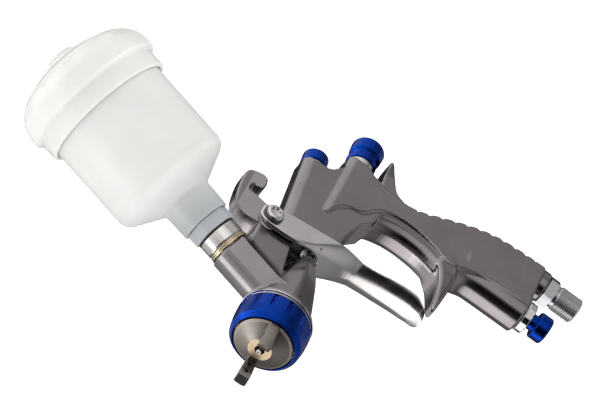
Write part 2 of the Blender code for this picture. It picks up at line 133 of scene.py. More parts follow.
def metal(name, colour, roughness, spread=0.05, grain=2500, stretch=(1, 1, 1), relief=0.05):
    """Plated or polished metal: cloudy tone, uneven polish and a fine grain."""
    made, tree, shader = new_material(name)
    shader.inputs["Metallic"].default_value = 1.0
    dark = tuple(c * 0.90 for c in colour)
    tree.links.new(ramp(tree, noise(tree, 60), dark, colour), shader.inputs["Base Color"])
    tree.links.new(ramp(tree, noise(tree, 180, 5), max(roughness - spread, 0.03), roughness + spread),
                   shader.inputs["Roughness"])
    bump(tree, shader, noise(tree, grain, 2, stretch), relief, 0.00005)
    return made


def plastic(name, colour, roughness, grain=900, relief=0.08, translucent=0.0, through=0.0):
    made, tree, shader = new_material(name)
    dark = tuple(c * 0.95 for c in colour)
    tree.links.new(ramp(tree, noise(tree, 45), dark, colour), shader.inputs["Base Color"])
    tree.links.new(ramp(tree, noise(tree, 300, 4), roughness - 0.05, roughness + 0.05),
                   shader.inputs["Roughness"])
    bump(tree, shader, noise(tree, grain, 3), relief, 0.0001)
    if translucent:
        shader.inputs["Subsurface Weight"].default_value = translucent
        shader.inputs["Subsurface Radius"].default_value = (1.0, 0.95, 0.9)
        shader.inputs["Subsurface Scale"].default_value = 0.008
    if through:
        shader.inputs["Transmission Weight"].default_value = through
        shader.inputs["IOR"].default_value = 1.25
    return made


def milky_plastic():
    """Translucent white plastic with painted shade: greyer low down on the neck and on the cone below the
    cup's wide body.
    """
    made = plastic("milky_plastic", (0.74, 0.75, 0.73), 0.34, 400, 0.05, 0.25)
    tree = made.node_tree
    shader = tree.nodes["Principled BSDF"]
    clear = shader.inputs["Base Color"].links[0].from_socket
    # Painted shade: from the height along the cup's axis, the colour turns dark grey down the neck, and
    # everything below the top of the cone is dimmed a little more.
    place = tree.nodes.new("ShaderNodeTexCoord")
    height = tree.nodes.new("ShaderNodeVectorMath")
    height.operation = "DOT_PRODUCT"
    height.inputs[1].default_value = CUP_AXIS
    tree.links.new(place.outputs["Object"], height.inputs[0])
    foot = (TIP + Vector(CUP_FOOT) * MM).dot(Vector(CUP_AXIS))
    share = tree.nodes.new("ShaderNodeMapRange")
    share.inputs["From Min"].default_value = foot + 55 * MM
    share.inputs["From Max"].default_value = foot + 74 * MM
    mix = tree.nodes.new("ShaderNodeMix")
    mix.data_type = "RGBA"
    mix.inputs["A"].default_value = (0.44, 0.48, 0.49, 1)
    tree.links.new(height.outputs["Value"], share.inputs["Value"])
    tree.links.new(share.outputs["Result"], mix.inputs["Factor"])
    tree.links.new(clear, mix.inputs["B"])
    lower = tree.nodes.new("ShaderNodeMapRange")
    lower.inputs["From Min"].default_value = foot + 72 * MM
    lower.inputs["From Max"].default_value = foot + 82 * MM
    lower.inputs["To Min"].default_value = 0.86
    scale = tree.nodes.new("ShaderNodeVectorMath")
    scale.operation = "SCALE"
    tree.links.new(height.outputs["Value"], lower.inputs["Value"])
    tree.links.new(mix.outputs["Result"], scale.inputs[0])
    tree.links.new(lower.outputs["Result"], scale.inputs["Scale"])
    tree.links.new(scale.outputs["Vector"], shader.inputs["Base Color"])
    return made


def cap_metal():
    """Brushed nickel with a brass centre of 5.8 mm radius about the spray axis."""
    made = metal("cap_nickel", (0.34, 0.31, 0.28), 0.36, 0.05, 3000, relief=0.10)
    tree = made.node_tree
    shader = tree.nodes["Principled BSDF"]
    nickel = shader.inputs["Base Color"].links[0].from_socket
    place = tree.nodes.new("ShaderNodeTexCoord")
    across = tree.nodes.new("ShaderNodeMapping")
    across.inputs["Location"].default_value = (0, -TIP.y, -TIP.z)
    across.inputs["Scale"].default_value = (0, 1, 1)
    reach = tree.nodes.new("ShaderNodeVectorMath")
    reach.operation = "LENGTH"
    inside = tree.nodes.new("ShaderNodeMath")
    inside.operation = "LESS_THAN"
    inside.inputs[1].default_value = 5.85 * MM
    mix = tree.nodes.new("ShaderNodeMix")
    mix.data_type = "RGBA"
    mix.inputs["B"].default_value = (0.46, 0.37, 0.25, 1)
    tree.links.new(place.outputs["Object"], across.inputs["Vector"])
    tree.links.new(across.outputs["Vector"], reach.inputs[0])
    tree.links.new(reach.outputs["Value"], inside.inputs[0])
    tree.links.new(inside.outputs["Value"], mix.inputs["Factor"])
    tree.links.new(nickel, mix.inputs["A"])
    tree.links.new(mix.outputs["Result"], shader.inputs["Base Color"])
    return made


FINISH = {
    "body": metal("dark_nickel", (0.32, 0.296, 0.305), 0.20, 0.04, 1800, relief=0.04),
    "trigger": metal("satin_nickel", (0.76, 0.745, 0.74), 0.20, 0.04, 1800, relief=0.05),
    "cap": cap_metal(),
    "chrome": metal("bright_chrome", (0.74, 0.73, 0.72), 0.12, 0.03, 2500, relief=0.03),
    "blue": metal("blue_anodised", (0.004, 0.045, 0.36), 0.26, 0.04, 4000, relief=0.08),
    "brass": metal("bright_brass", (0.80, 0.68, 0.48), 0.26, 0.05, 3000, relief=0.08),
    "steel": metal("ground_steel", (0.55, 0.55, 0.56), 0.28, 0.05, 3500, relief=0.08),
    "dark_steel": metal("spring_steel", (0.20, 0.20, 0.21), 0.35, 0.05, 3500, relief=0.08),
    "rubber": plastic("black_rubber", (0.015, 0.015, 0.016), 0.6),
    "milky": milky_plastic(),
    "grey": plastic("grey_plastic", (0.38, 0.40, 0.43), 0.42),
}
SLOT_FINISH = {
    "body_metal": "body", "trigger_metal": "trigger", "cap_metal": "cap", "bright_metal": "chrome",
    "blue_anodised": "blue", "brass_metal": "brass", "steel": "steel", "spring_steel": "dark_steel",
    "black_rubber": "rubber", "milky_plastic": "milky", "grey_plastic": "grey",
}
SLOT_OF = {part["node"]: part["material_slot"] for part in frame["record"]["subparts"]}
BODY_OF = {node: body for body, nodes in frame["record"]["behaviour"]["bodies"].items() for node in nodes}


def stand_for(piece, *nodes, finish=None):
    """Put a finished piece on the body of the CAD nodes it stands for."""
    slot = SLOT_OF[nodes[0]]
    piece.data.materials.clear()
    piece.data.materials.append(FINISH[finish or SLOT_FINISH[slot]])
    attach(piece, BODY_OF[nodes[0]])
    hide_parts(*nodes)
    return piece


# Solid shapes as distance fields ---------------------------------------------------------------------------
# A field is a function of (x, y, z) arrays that is negative inside the metal.

def union(a, b, blend=0.0):
    """Smaller of two fields, with a fillet of about the blend's size between them."""
    if not blend:
        return np.minimum(a, b)
    share = np.clip(0.5 + 0.5 * (b - a) / blend, 0, 1)
    return b + (a - b) * share - blend * share * (1 - share)


def common(a, b, chamfer=0.0):
    """Larger of two fields, with a flat chamfer along the edge between them."""
    both = np.maximum(a, b)
    return np.maximum(both, (a + b + chamfer) * math.sqrt(0.5)) if chamfer else both


def minus(a, b, blend=0.0):
    return -union(-a, b, blend)


def rounded(a, b, radius):
    """Larger of two fields, with an arc along the edge between them."""
    u, v = a + radius, b + radius
    return np.minimum(np.maximum(u, v), 0) + np.sqrt(np.maximum(u, 0) ** 2 + np.maximum(v, 0) ** 2) - radius


def softened(outline, keep=(), rounds=2):
    """Cut the corners of a closed outline until it is a curve; the corners numbered in keep stay sharp."""
    points = [(point, i in keep) for i, point in enumerate(outline)]
    for _ in range(rounds):
        cut = []
        for i, (here, sharp) in enumerate(points):
            if sharp:
                cut.append((here, True))
                continue
            for near in (points[i - 1][0], points[(i + 1) % len(points)][0]):
                cut.append(((here[0] * 0.75 + near[0] * 0.25, here[1] * 0.75 + near[1] * 0.25), False))
        points = cut
    return [point for point, _ in points]


def inside_outline(u, v, outline):
    """Signed distance to a closed outline, negative inside."""
    nearest = None
    sign = 1.0
    for (ax, ay), (bx, by) in zip(outline, outline[-1:] + outline[:-1]):
        ex, ey = bx - ax, by - ay
        wx, wy = u - ax, v - ay
        along = np.clip((wx * ex + wy * ey) / (ex * ex + ey * ey), 0, 1)
        gap = (wx - ex * along) ** 2 + (wy - ey * along) ** 2
        nearest = gap if nearest is None else np.minimum(nearest, gap)
        above, below, left = v >= ay, v < by, ex * wy > ey * wx
        sign = np.where((above & below & left) | ~(above | below | left), -sign, sign)
    return sign * np.sqrt(nearest)


def along_axis(x, y, z, foot, axis):
    """Distance along an axis in the XZ plane, offset across it in that plane, and radius about it."""
    dx, dz = x - foot[0], z - foot[2]
    along = dx * axis[0] + dz * axis[2]
    across = dx * axis[2] - dz * axis[0]
    return along, across, np.sqrt(across ** 2 + y ** 2)


def barrel(x, y, z, foot, axis, start, end, radius, chamfer=0.6):
    along, _, reach = along_axis(x, y, z, foot, axis)
    return common(np.maximum(start - along, along - end), reach - radius, chamfer)


def skin(name, field, low, high, cell):
    """Mesh the zero surface of a field: one point per cell that it crosses, pulled onto the exact surface."""
    axes = [np.arange(a, b + cell, cell) for a, b in zip(low, high)]
    sizes = [len(axis) for axis in axes]
    grid = np.broadcast_to(field(axes[0][:, None, None], axes[1][None, :, None], axes[2][None, None, :]),
                           sizes).astype(np.float32)
    solid = grid < 0
    corners = [(i, j, k) for i in (0, 1) for j in (0, 1) for k in (0, 1)]

    def shifted(array, step):
        i, j, k = step
        return array[i:sizes[0] - 1 + i, j:sizes[1] - 1 + j, k:sizes[2] - 1 + k]

    count = sum(shifted(solid, step).astype(np.int8) for step in corners)
    cells = np.argwhere((count > 0) & (count < 8))
    number = np.full([size - 1 for size in sizes], -1, np.int64)
    number[tuple(cells.T)] = np.arange(len(cells))
    value = {step: grid[tuple((cells + step).T)] for step in corners}
    total = np.zeros((len(cells), 3))
    crossings = np.zeros(len(cells))
    for start in corners:
        for axis in range(3):
            if start[axis]:
                continue
            end = tuple(1 if a == axis else start[a] for a in range(3))
            a, b = value[start], value[end]
            crossed = (a < 0) != (b < 0)
            share = np.where(crossed, a / np.where(crossed, a - b, 1), 0)
            point = np.repeat(np.array([start], float), len(cells), 0)
            point[:, axis] = share
            total += point * crossed[:, None]
            crossings += crossed
    points = (cells + total / crossings[:, None]) * cell + np.array([axis[0] for axis in axes])
    quads = []
    for axis in range(3):
        across = [a for a in range(3) if a != axis]
        first = [slice(None)] * 3
        second = [slice(None)] * 3
        first[axis] = slice(0, -1)
        second[axis] = slice(1, None)
        before, after = solid[tuple(first)], solid[tuple(second)]
        edges = np.argwhere(before != after)
        edges = edges[(edges[:, across[0]] > 0) & (edges[:, across[1]] > 0)]
        edges = edges[(edges[:, across[0]] < sizes[across[0]] - 1)
                      & (edges[:, across[1]] < sizes[across[1]] - 1)]
        ring = []
        for da, db in ((1, 1), (0, 1), (0, 0), (1, 0)):
            step = np.zeros(3, int)
            step[across[0]], step[across[1]] = da, db
            ring.append(number[tuple((edges - step).T)])
        ring = np.stack(ring, 1)
        outward = before[tuple(edges.T)]
        if axis == 1:
            outward = ~outward
        ring[~outward] = ring[~outward][:, ::-1]
        quads.append(ring)
    quads = np.concatenate(quads)

    def slope(at, width):
        parts = []
        for axis in range(3):
            step = np.zeros(3)
            step[axis] = width
            parts.append(field(*(at + step).T) - field(*(at - step).T))
        return np.stack(parts, 1) / (2 * width)

    for _ in range(3):
        gradient = slope(points, 0.05)
        reach = field(*points.T) / np.maximum((gradient ** 2).sum(1), 0.2)
        points -= gradient * np.clip(reach, -cell / 2, cell / 2)[:, None]
    normals = slope(points, 0.10)
    normals /= np.linalg.norm(normals, axis=1)[:, None]
    mesh = bpy.data.meshes.new(name)
    mesh.from_pydata(to_frame(points), [], quads)
    mesh.shade_smooth()
    mesh.normals_split_custom_set_from_vertices(normals)
    made = bpy.data.objects.new(name, mesh)
    bpy.context.scene.collection.objects.link(made)
    return made


# Turned pieces ---------------------------------------------------------------------------------------------

def eased(profile, radius, closed):
    """Round each corner of a turned profile with a short arc of three points."""
    if not radius:
        return list(profile)
    out = []
    last = len(profile) - 1
    for i, point in enumerate(profile):
        if not closed and i in (0, last):
            out.append(point)
            continue
        here = Vector(point)
        before = Vector(profile[i - 1]) - here
        after = Vector(profile[(i + 1) % len(profile)]) - here
        size = min(radius, before.length * 0.4, after.length * 0.4)
        if size < 0.01 or before.angle(after) > math.radians(170):
            out.append(point)
            continue
        a = here + before.normalized() * size
        b = here + after.normalized() * size
        out += [tuple(a), tuple((a + b) * 0.25 + here * 0.5), tuple(b)]
    return out


def turned(name, profile, foot=(0, 0, 0), axis=(1, 0, 0), sides=96, closed=False, ease=0.25, shape=None):
    """Turn (along, radius) points about an axis; shape(angle, along, radius) may alter the radius."""
    outline = eased(profile, ease, closed)
    along = np.array([point[0] for point in outline])
    radius = np.array([point[1] for point in outline])
    angle = np.arange(sides) * 2 * math.pi / sides
    reach = np.repeat(radius[:, None], sides, 1)
    if shape:
        reach = shape(angle[None, :], along[:, None], reach)
    forward = Vector(axis)
    side = Vector((0, 0, 1)) if abs(forward.y) > 0.9 else Vector((0, 1, 0))
    up = forward.cross(side)
    ring = np.cos(angle)[:, None] * np.array(side) + np.sin(angle)[:, None] * np.array(up)
    points = (np.array(foot) + along[:, None, None] * np.array(forward) + reach[:, :, None] * ring[None])
    rows = len(outline)
    build = bmesh.new()
    verts = [build.verts.new(point) for point in to_frame(points).reshape(-1, 3)]
    pairs = rows if closed else rows - 1
    for i in range(pairs):
        for k in range(sides):
            j = (i + 1) % rows
            build.faces.new((verts[i * sides + k], verts[i * sides + (k + 1) % sides],
                             verts[j * sides + (k + 1) % sides], verts[j * sides + k]))
    bmesh.ops.remove_doubles(build, verts=build.verts, dist=0.002 * MM)
    bmesh.ops.recalc_face_normals(build, faces=build.faces)
    mesh = bpy.data.meshes.new(name)
    build.to_mesh(mesh)
    build.free()
    mesh.shade_smooth()
    mesh.set_sharp_from_angle(angle=math.radians(40))
    made = bpy.data.objects.new(name, mesh)
    bpy.context.scene.collection.objects.link(made)
    weighted = made.modifiers.new("weighted", "WEIGHTED_NORMAL")
    weighted.keep_sharp = True
    return made


def hexagonal(flats, start, end, turn=0.0):
    """Shape function that cuts six flats into the stretch from start to end."""
    def shape(angle, along, reach):
        sector = np.mod(angle + turn, math.pi / 3) - math.pi / 6
        flat = flats / 2 / np.cos(sector)
        here = (along > start - 0.01) & (along < end + 0.01)
        return np.where(here, np.minimum(reach, flat), reach)
    return shape


def fluted(count, depth, start, end, sharpness=1.0):
    """Shape function with rounded flutes round the stretch from start to end."""
    def shape(angle, along, reach):
        wave = (0.5 - 0.5 * np.cos(count * angle)) ** sharpness
        here = (along > start - 0.01) & (along < end + 0.01)
        return np.where(here, reach - depth * wave, reach)
    return shape


# The casting -----------------------------------------------------------------------------------------------

HANDLE_BACK = [(133.0, -6), (134.2, -24), (137.4, -35.5), (144.4, -47), (151.8, -61), (156.4, -74),
               (157.9, -87), (158.4, -96), (158.6, -120)]
HANDLE_FRONT = [(119.7, -120), (119.7, -84), (119.4, -74), (117.5, -68), (113, -63.5), (109.5, -61),
                (109.5, -57), (112.2, -54), (115.1, -46), (115.9, -36), (115.4, -29), (113.1, -21.4),
                (108.9, -14), (101, -8)]
# The raised side panels: the flank of the fluid valve and of the handle in one plane.
PANEL_FRONT = [(127.6, -120), (127.4, -101), (125.0, -77), (121.2, -67), (118.0, -60.5), (118.2, -55.5),
               (120.6, -51), (123.5, -41), (123.9, -28.4), (121.8, -21), (117.6, -15.2), (112.6, -12.4),
               (110.2, -9.4), (108.2, -2.2), (102, 2.6), (96.4, 4.6), (97.6, 8.6)]
PANEL_BACK = [(141.6, 8.6), (141.6, -3.4), (138.4, -6.6), (137.2, -10.8), (135.6, -13)]
BEAK = [(126, -13), (137.8, -11.6), (145.4, -10.9), (154.1, -11.4), (160.2, -11.7), (161.3, -12.8),
        (159.4, -14.2), (152.4, -15.6), (142.4, -18.6), (136.8, -21.6), (135.4, -27), (128, -30)]
BLOCK = [(79.1, 28), (82.2, -5.7), (88.5, -8.6), (97, -10.5), (104, -12.8), (109, -17), (120, -20),
         (136, -26), (137.4, -20), (139, -16), (139, -8.4), (138, -5), (137, 4.2), (131.4, 8.4),
         (126.6, 11.4), (124.8, 14), (123.8, 28)]
NECK = [(40, 8.5), (61.9, 11.4), (81, 11.4), (80.5, 22.2), (72, 31), (66, 30.4), (57.5, 30.5), (47, 32.5)]
HOOK = [(63.4, 22.5), (64.5, 31), (65.6, 36.3), (68.0, 41.6), (72, 44.6), (79, 46.1), (88, 47.0),
        (94.8, 46.6), (97.4, 43.6), (97.3, 38.6), (95.2, 36.0), (91, 35.2), (87.3, 35.4), (87.6, 38.6),
        (88.0, 41.0), (85.4, 41.4), (82.9, 41.0), (82.4, 39.0), (81.2, 36.2), (79.4, 33.2), (76.4, 28),
        (74.6, 22)]
FANG = [(89.6, -63.0), (91.4, -61.2), (98, -60), (105, -58.4), (111, -56.2), (117, -52), (124, -58),
        (119, -65), (111, -65.4), (103, -65.0), (95, -64.4), (91, -64.0)]


GROOVE_PITCH = 6.4
GROOVE_DEPTH = 1.3
GROOVE_SHARE = 0.17
GROOVES_BOTTOM_Z = -97
GROOVES_TOP_Z = -33


def serrations(z):
    """Depth of the finger grooves down the back of the handle."""
    phase = np.mod((z + 30.0) / GROOVE_PITCH, 1.0)
    groove = np.exp(-((phase - 0.5) / GROOVE_SHARE) ** 2)
    return GROOVE_DEPTH * groove * ((z < GROOVES_TOP_Z) & (z > GROOVES_BOTTOM_Z))


def body_field(x, y, z):
    side = np.abs(y)
    # Handle core, narrower than the panels, with a round front edge. The panels stand out on both sides.
    outline = inside_outline(x, z, HANDLE_FRONT_BACK)
    core = np.where(x > 128, rounded(outline + serrations(z), side - 9.4, 4.6),
                    rounded(outline, side - 8.3, 6.2))
    panel = inside_outline(x, z, PANEL_CURVE)
    panel = panel + (0.5 + 0.75 * serrations(z)) * np.clip((x - 128) / 5, 0, 1) * np.clip((-24 - z) / 8, 0, 1)
    draft = np.interp(z, [-105, -30, 0], [9.7, 10.0, 10.0])
    panel = np.maximum(common(panel, side - draft, 0.7), rounded(z - 7.9, side - 10.0, 4.4))
    tube = barrel(x, y, z, (TUBE_X, 0, 0), (0, 0, 1), -103, -66, 9.9, 0.4)
    handle = union(union(core, tube, 2.0), panel, 0.8)
    handle = common(handle, HANDLE_END - z, 0.9)
    handle = np.maximum(handle, z - 8.2)
    # One plate for the block behind the trigger, the neck over the needle gap and the hook.
    flat = union(inside_outline(x, z, BLOCK), inside_outline(x, z, NECK), 0.8)
    flat = union(flat, inside_outline(x, z, HOOK_CURVE), 0.8)
    half = 8.6 - 4.4 * np.clip((z - 29) / 14, 0, 1)
    block = common(flat, (side - half) * 0.95, 0.8)
    _, lower, _ = along_axis(x, y, z, FAN_FOOT, FAN_AXIS)
    over = rounded(-lower - 6.9, side - 8.6, 5.0)
    block = np.where((x > 79.5) & (z < 30), np.maximum(block, over), block)
    fan = barrel(x, y, z, FAN_FOOT, FAN_AXIS, 2, 43.8, 6.9, 0.6)
    rear = barrel(x, y, z, (0, 0, 0), (1, 0, 0), 110, 141.6, 8.2, 0.6)
    block = union(union(block, fan, 0.4), rear, 0.4)
    width = np.interp(x, [128, 136, 146, 156, 162], [9.8, 9.7, 8.6, 6.2, 4.6])
    beak = rounded(inside_outline(x, z, BEAK_CURVE), side - width, 1.3)
    solid = union(union(handle, block, 0.9), beak, 0.5)
    width = np.interp(x, [89, 96, 105, 113, 122], [3.2, 5.6, 7.6, 9.0, 9.8])
    fang = rounded(inside_outline(x, z, FANG_CURVE), side - width, 2.2)
    solid = union(solid, fang, 1.2)
    lug = common(np.sqrt((x - PIVOT[0]) ** 2 + (z - PIVOT[2]) ** 2) - 5.9, side - 9.3, 0.5)
    solid = union(solid, lug, 0.4)
    # Head: faceted cone round the spray axis, flange behind the ring, and the round fluid inlet.
    reach = np.interp(x, [20, 24.5, 28.5, 41, 52, 62, 66], [16.2, 16.2, 15.6, 12.7, 10.0, 6.9, 5.9])
    facets = None
    for k in range(8):
        turn = math.pi / 8 + k * math.pi / 4
        face = y * math.cos(turn) + z * math.sin(turn)
        facets = face if facets is None else np.maximum(facets, face)
    cone = np.maximum(facets - reach * 0.955, np.sqrt(y ** 2 + z ** 2) - reach)
    cone = common(cone * 0.97, x - 64.0, 1.2)
    along, sideways, round_reach = along_axis(x, y, z, CUP_FOOT, CUP_AXIS)
    ribs = np.maximum(side * math.cos(0.42) + np.abs(sideways) * math.sin(0.42) - 9.9, round_reach - 10.9)
    boss = common(ribs, np.maximum(2 - along, along - 36.3), 0.8)
    head = union(cone, boss, 2.0)
    flange = common(np.sqrt(y ** 2 + z ** 2) - 16.8, np.maximum(24.9 - x, x - 27.5), 0.6)
    head = np.maximum(union(head, flange, 1.0), 24.9 - x)
    solid = union(solid, head, 1.2)
    solid = minus(solid, barrel(x, y, z, (0, 0, 0), (1, 0, 0), 10, 34, 12.2, 0))
    solid = minus(solid, barrel(x, y, z, (0, 0, 0), (1, 0, 0), 30, 70, 3.7, 0))
    solid = minus(solid, barrel(x, y, z, (0, 0, 0), (1, 0, 0), 70, 84, 6.5, 0), 0.3)
    solid = minus(solid, barrel(x, y, z, (TUBE_X, 0, 0), (0, 0, 1), HANDLE_END - 9, -94, 7.6, 0))
    boss_end = barrel(x, y, z, (INLET_X, 0, 0), (0, 0, 1), -107.9, -95, 8.1, 0.8)
    solid = union(solid, boss_end, 0.3)
    return minus(solid, barrel(x, y, z, (INLET_X, 0, 0), (0, 0, 1), -112, -99, 5.4, 0))


HANDLE_FRONT_BACK = softened(HANDLE_FRONT + HANDLE_BACK, keep=(0, len(HANDLE_FRONT) + len(HANDLE_BACK) - 1))
PANEL_CURVE = softened(PANEL_FRONT + PANEL_BACK + HANDLE_BACK[1:],
                       keep=(0, len(PANEL_FRONT) - 1, len(PANEL_FRONT),
                             len(PANEL_FRONT + PANEL_BACK + HANDLE_BACK) - 2))
HOOK_CURVE = softened(HOOK, keep=(0,))
FANG_CURVE = softened(FANG)
BEAK_CURVE = softened(BEAK, keep=(0,))


def make_body():
    cell = 0.5
    made = skin("gun_casting", body_field, (23, -18.5, -110), (163.5, 18.5, 49), cell)
    return stand_for(made, "gun_body")


# Trigger ---------------------------------------------------------------------------------------------------

LEVER_FRONT = [(66.2, 32.8), (63.7, 29.6), (63.0, 24), (63.2, 16), (64.4, 9), (67.6, 2.4), (71.2, -4),
               (74.6, -11), (77.4, -18), (79.2, -26), (80.8, -36), (81.8, -46), (82.0, -52), (81.5, -56),
               (79.6, -61)]
LEVER_BACK = [(71.6, 32.8), (75.4, 29.4), (76.9, 22.4), (78.6, 11), (79.9, 0), (81.0, -10), (82.0, -19),
              (83.2, -29), (84.8, -38), (86.0, -47), (85.8, -53), (84.2, -57), (82.0, -61)]
FRONT_CURVE = softened([(120, 32.8)] + LEVER_FRONT + [(120, -61)], keep=(0, 1, len(LEVER_FRONT),
                                                                         len(LEVER_FRONT) + 1))
BACK_CURVE = softened([(40, 32.8)] + LEVER_BACK + [(40, -61)], keep=(0, 1, len(LEVER_BACK),
                                                                     len(LEVER_BACK) + 1))


def trigger_field(x, y, z):
    side = np.abs(y)
    width = np.interp(z, [-61, -58, -52, -36, -20, -8, 4], [8.2, 9.8, 11.2, 12.3, 12.5, 12.3, 12.1])
    bend = np.interp(z, [-61, -22, -10, 2, 12], [8.0, 12.0, 7.6, 2.6, 0.7])
    front = inside_outline(x, z, FRONT_CURVE)
    solid = rounded(front, side - width, bend)
    deeper = 6.0 * np.exp(-((z - 5) / 9) ** 2) * (y > 0)
    solid = common(solid, inside_outline(x - deeper, z, BACK_CURVE), 0.7)
    wall = np.interp(z, [-20, -8], [2.2, 1.2])
    hollow = np.maximum(rounded(front + wall, side - 9.65, np.maximum(bend - 2.4, 0.4)), -2.2 - width + side)
    throat = np.sqrt(side ** 2 + (np.maximum(9 - z, 0) * 0.78) ** 2) - 9.65
    solid = minus(minus(solid, hollow, 0.4), throat, 0.8)
    pads = np.maximum(np.maximum(70.2 - x, x - 73.0), np.maximum(np.abs(z) - 1.5, np.abs(side - 6.8) - 4.2))
    solid = union(solid, pads, 0.3)
    hole = np.sqrt((x - PIVOT[0]) ** 2 + (z - PIVOT[2]) ** 2) - 3.5
    return minus(solid, hole, 0.2)


def make_trigger():
    cell = 0.42
    made = skin("trigger_lever", trigger_field, (61, -13, -63), (90, 13, 35), cell)
    return stand_for(made, "trigger")


# Air cap ---------------------------------------------------------------------------------------------------

HORN_ROLL = math.radians(-4.4)


def cap_field(x, y, z):
    yy = y * math.cos(HORN_ROLL) + z * math.sin(HORN_ROLL)
    zz = z * math.cos(HORN_ROLL) - y * math.sin(HORN_ROLL)
    reach = np.sqrt(y ** 2 + z ** 2)
    face = np.interp(reach, [0, 5.8, 6.0, 13.0, 14.4], [1.5, 1.5, 1.9, 5.6, 6.0])
    disc = common(np.maximum((face - x) * 0.88, x - 11), reach - 14.2, 0.3)
    collar = common(np.maximum(9.3 - x, x - 11), reach - 15.2, 0.2)
    back = np.maximum(reach - 12.3, np.interp(reach, [0, 4.9, 12.0], [3.4, 3.4, 7.4]) - x)
    solid = minus(union(disc, collar), back)
    tip = -9.36
    inner = 8.6 + np.clip((x - tip) / 12, 0, 1) * 0.6 - np.clip((tip + 4.2 - x) / 4.2, 0, 1) * -1.6
    horn = np.maximum(inner - np.abs(yy), reach - 14.2)
    horn = common(horn, np.abs(zz) - np.interp(x, [-10, 4], [3.2, 2.5]), 0.4)
    slope = tip - (np.abs(yy) - 13.0) * 0.55
    horn = common(horn, np.maximum((slope - x) * 0.88, x - 8.6), 0.4)
    solid = union(solid, horn, 0.3)
    for at in (-4.6, 0.2):
        hole = np.sqrt((x - at - (np.abs(yy) - 9) * 0.6) ** 2 * 0.75 + zz ** 2) - 0.95
        solid = minus(solid, np.maximum(hole, np.abs(yy) - 11.6))
    return minus(solid, reach - 2.35)


def make_head():
    cell = 0.3
    stand_for(skin("horned_air_cap", cap_field, (-10.2, -16, -16), (12, 16, 16), cell), "air_cap")

    def notches(angle, along, reach):
        """Fourteen short grooves across the rear half of the ring."""
        wave = np.clip(np.cos(14 * angle) * 4 - 2.8, 0, 1)
        here = (along > 13.5) & (along < 22.5) & (reach > 16.4)
        return np.where(here, reach - 0.95 * wave, reach)

    ring = turned("ring_shell", [(9.0, 14.6), (6.6, 14.9), (6.4, 15.3), (8.6, 17.2), (12.8, 17.7),
                                 (13.4, 17.8), (14.4, 17.9), (20.6, 18.0), (21.8, 17.6), (22.2, 16.6),
                                 (22.2, 15.6), (10.0, 15.6), (10.0, 14.6)], closed=True, sides=336,
                                 shape=notches, ease=0.35)
    stand_for(ring, "air_cap_ring")
    stand_for(turned("bright_trim_ring", [(13, 12.6), (13, 15.2), (22.6, 15.2), (22.6, 17.0), (23.3, 17.0),
                                          (23.3, 17.9), (24.1, 17.9), (24.1, 16.4), (24.6, 16.4),
                                          (24.6, 12.6)],
                     closed=True, ease=0.15), "air_distribution_ring")
    stand_for(turned("nozzle_tip", [(0, 0.55), (0, 1.1), (1.2, 1.25), (3.7, 1.5), (6.6, 4.0), (8.2, 9.0),
                                    (10.6, 9.0), (10.6, 6.4), (36, 6.4), (36, 2.6), (6, 2.6), (2, 0.9)],
                     closed=True, ease=0.1), "fluid_nozzle", finish="steel")


# Knobs and fittings ----------------------------------------------------------------------------------------

